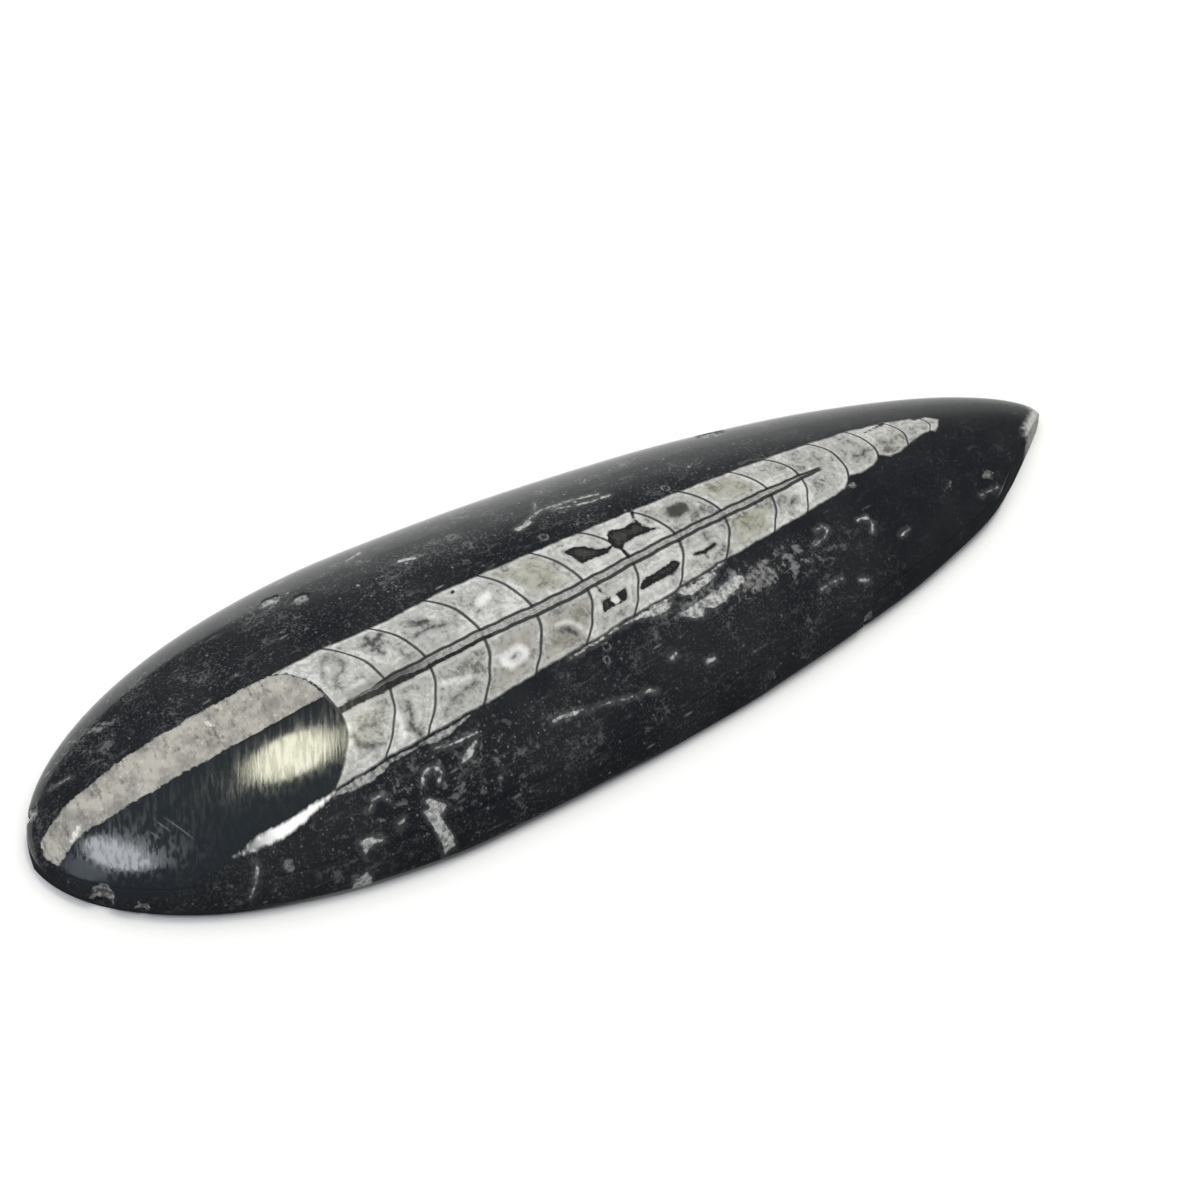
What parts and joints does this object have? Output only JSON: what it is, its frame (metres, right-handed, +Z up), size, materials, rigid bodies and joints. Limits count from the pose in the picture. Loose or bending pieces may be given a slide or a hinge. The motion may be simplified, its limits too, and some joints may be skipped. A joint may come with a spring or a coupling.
{
  "type": "polished orthoceras fossil",
  "caption": "Leaf-shaped slab of black limestone with a domed, polished top that shows a pale chambered straight shell in long section; flat underside.",
  "frame": {"origin": "on the flat underside, at the middle of the slab's length and width", "axes": "+X along the slab towards its pointed end, +Y across it, +Z up through the domed top"},
  "size_m": [0.1514, 0.0428, 0.0128],
  "materials": {
    "polished_limestone": "polished black limestone with pale grey and cream calcite where the shell shows; saw-cut and matt underneath"
  },
  "bodies": {
    "root": {"orthoceras_slab": "polished_limestone"}
  },
  "joints": []
}
